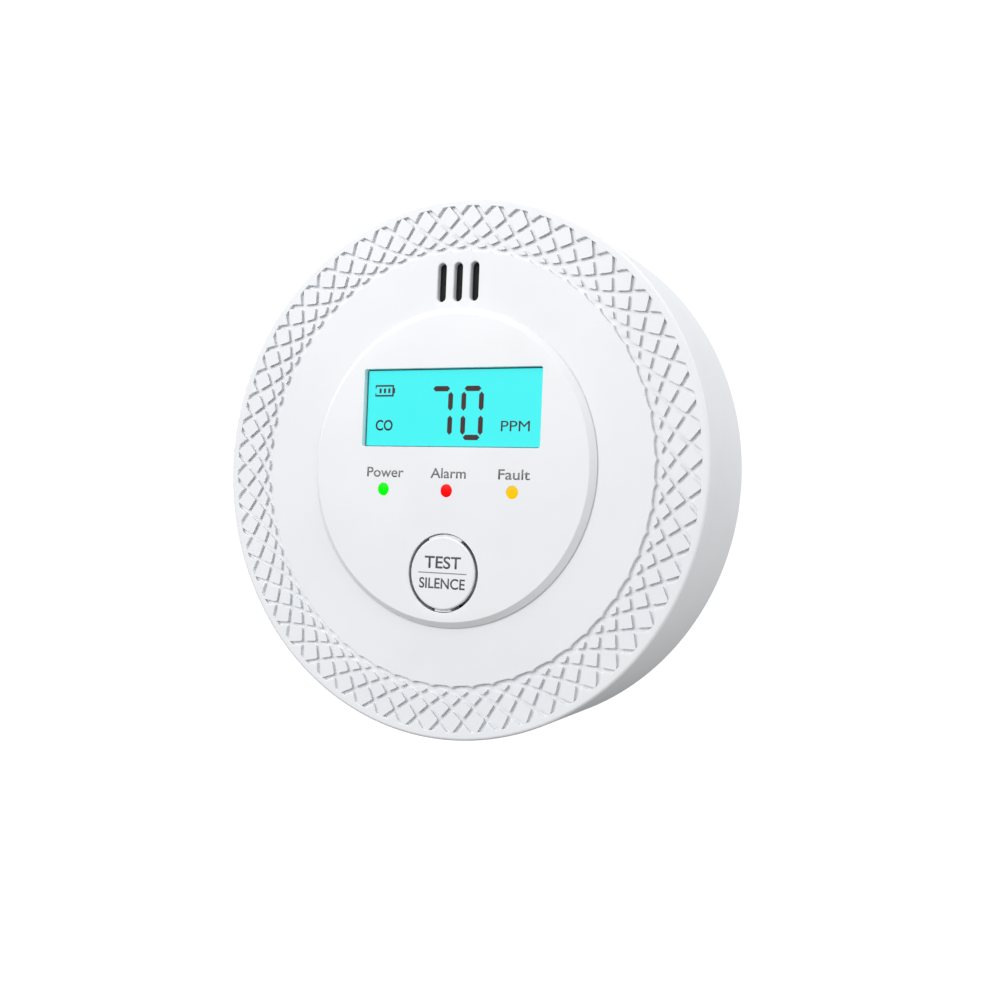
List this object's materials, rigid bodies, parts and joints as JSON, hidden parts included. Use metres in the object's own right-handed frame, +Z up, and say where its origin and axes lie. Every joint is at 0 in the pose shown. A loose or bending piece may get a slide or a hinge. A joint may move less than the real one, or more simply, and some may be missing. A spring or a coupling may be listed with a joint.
{
  "type": "carbon monoxide detector",
  "caption": "Round wall-mounted carbon monoxide alarm with display window, indicator lights, test button, battery door and twist-lock bracket.",
  "frame": {"origin": "centre of the wall bracket's back face, on the wall", "axes": "+Z up and +X to the right as the user faces the alarm; +Y into the wall, so the face looks along -Y"},
  "size_m": [0.1066, 0.029, 0.1066],
  "materials": {
    "cover_white": "fine satin mould finish",
    "plate_white": "smooth satin",
    "button_white": "smooth satin",
    "bracket_white": "matt",
    "clear_lens": "clear acrylic",
    "display_glass": "cyan reflective display",
    "light_guide": "translucent white",
    "black_plastic": "matt black",
    "zebra_rubber": "striped elastomer",
    "lens_green": "green light rod",
    "lens_red": "red light rod",
    "lens_amber": "amber light rod",
    "led_body": "white package",
    "pcb_green": "solder mask",
    "chip_black": "moulded package",
    "capacitor_can": "dark sleeve",
    "ferrite": "dark ferrite",
    "sensor_metal": "nickel plated",
    "felt": "black felt",
    "brass_disc": "brushed",
    "cell_jacket": "printed jacket with no marks",
    "contact_steel": "nickel plated",
    "screw_steel": "zinc plated",
    "gauze": "fine black gauze"
  },
  "bodies": {
    "bracket": {"wall_bracket": "bracket_white"},
    "alarm": {"front_cover": "cover_white", "face_plate": "plate_white", "lcd_window": "clear_lens", "lcd_glass": "display_glass", "lcd_backlight": "light_guide", "lcd_frame": "black_plastic", "zebra_strips": "zebra_rubber", "light_pipe_power": "lens_green", "light_pipe_alarm": "lens_red", "light_pipe_fault": "lens_amber", "led_power": "led_body", "led_alarm": "led_body", "led_fault": "led_body", "main_pcb": "pcb_green", "mcu_chip": "chip_black", "amplifier_chip": "chip_black", "capacitors": "capacitor_can", "driver_coil": "ferrite", "switch_body": "black_plastic", "gas_sensor": "sensor_metal", "sensor_filter": "felt", "buzzer_housing": "black_plastic", "buzzer_disc": "brass_disc", "buzzer_retainer": "black_plastic", "dust_mesh": "gauze", "rear_cover": "cover_white", "battery_upper": "cell_jacket", "battery_lower": "cell_jacket", "spring_upper": "contact_steel", "spring_lower": "contact_steel", "contact_link": "contact_steel", "contact_positive": "contact_steel", "contact_negative": "contact_steel", "housing_screws": "screw_steel", "pcb_screws": "screw_steel"},
    "test_button": {"test_button": "button_white"},
    "switch_plunger": {"switch_plunger": "black_plastic"},
    "battery_door": {"battery_door": "cover_white"}
  },
  "joints": [
    {"name": "bracket_twist", "type": "hinge", "parent": "bracket", "child": "alarm", "pos_m": [0, 0, 0], "axis": [0, -1, 0], "range_deg": [0, 25]},
    {"name": "test_button_press", "type": "slide", "parent": "alarm", "child": "test_button", "axis": [0, 1, 0], "range_m": [0, 0.0008], "stiffness_N_per_m": 2000, "springref_m": -0.0005},
    {"name": "switch_plunger_press", "type": "slide", "parent": "alarm", "child": "switch_plunger", "axis": [0, 1, 0], "range_m": [0, 0.00025]},
    {"name": "battery_door_hinge", "type": "hinge", "parent": "alarm", "child": "battery_door", "pos_m": [0, -0.00175, -0.0204], "axis": [-1, 0, 0], "range_deg": [0, 100]}
  ],
  "couplings": [
    {"joint": "switch_plunger_press", "follows": "test_button_press", "ratio": 0.3125}
  ]
}
